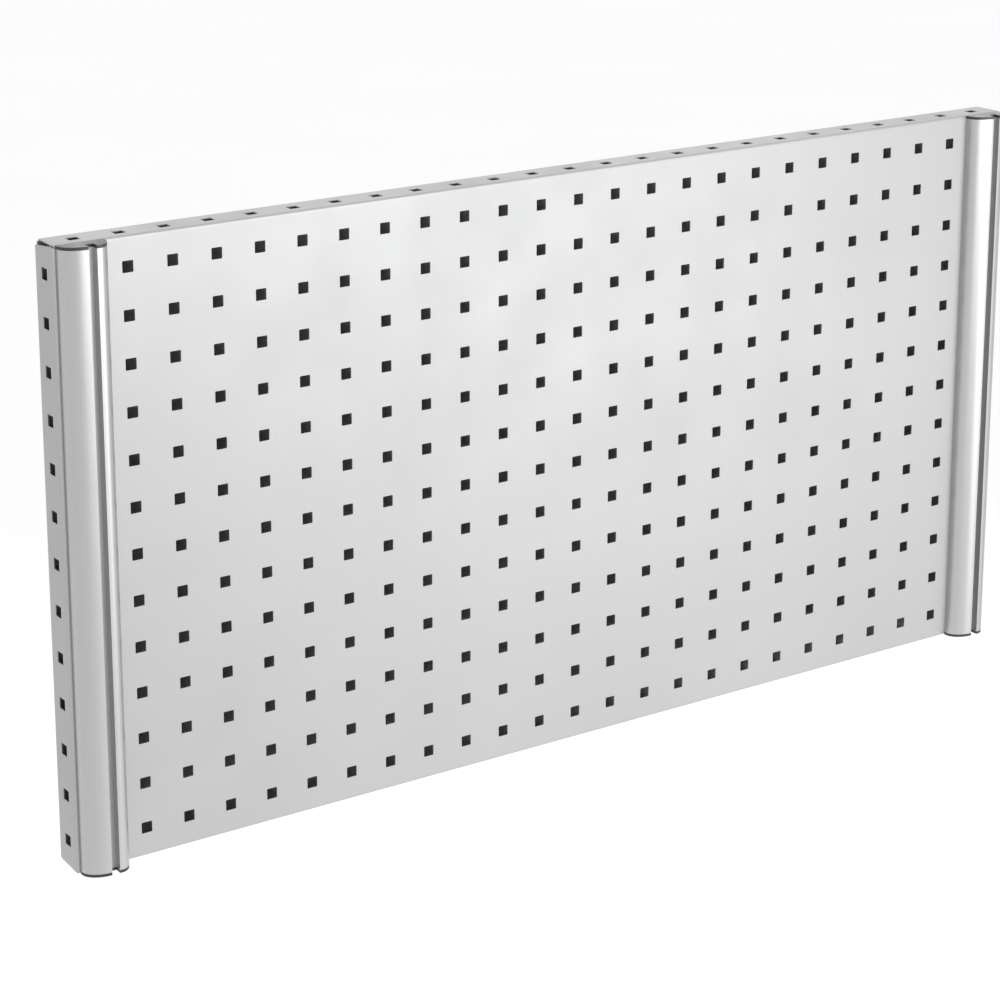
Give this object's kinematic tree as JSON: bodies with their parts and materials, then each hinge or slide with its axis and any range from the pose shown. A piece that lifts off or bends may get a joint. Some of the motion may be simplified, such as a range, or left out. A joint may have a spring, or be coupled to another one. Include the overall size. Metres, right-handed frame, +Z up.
{
  "type": "pegboard tool wall",
  "caption": "Folded steel tool panel with a grid of square peg holes, a closed back and upright grooved aluminium rails with plastic end caps on its face.",
  "frame": {"origin": "centre of the rear face", "axes": "+X to the right seen from the front, +Y out of the back, +Z up; the front faces -Y"},
  "size_m": [0.96, 0.0445, 0.504],
  "materials": {
    "painted_steel": "light silver-grey powder coat, fine texture, satin",
    "anodised_aluminium": "clear anodised extrusion with fine lines along its length",
    "cap_plastic": "dark grey moulded polyamide, fine texture",
    "zinc_plated_steel": "bright zinc plate"
  },
  "bodies": {
    "root": {"perforated_panel": "painted_steel", "rear_cover": "painted_steel", "mounting_nuts": "zinc_plated_steel", "cover_screws": "zinc_plated_steel", "cover_nuts": "zinc_plated_steel", "left_rail": "anodised_aluminium", "left_top_cap": "cap_plastic", "left_bottom_cap": "cap_plastic", "left_channel": "painted_steel", "left_rail_bolts": "zinc_plated_steel", "left_rail_washers": "zinc_plated_steel", "left_rail_nuts": "zinc_plated_steel", "upper_left_mounting_plate": "zinc_plated_steel", "lower_left_mounting_plate": "zinc_plated_steel", "right_rail": "anodised_aluminium", "right_top_cap": "cap_plastic", "right_bottom_cap": "cap_plastic", "right_channel": "painted_steel", "right_rail_bolts": "zinc_plated_steel", "right_rail_washers": "zinc_plated_steel", "right_rail_nuts": "zinc_plated_steel", "upper_right_mounting_plate": "zinc_plated_steel", "lower_right_mounting_plate": "zinc_plated_steel"}
  },
  "joints": []
}
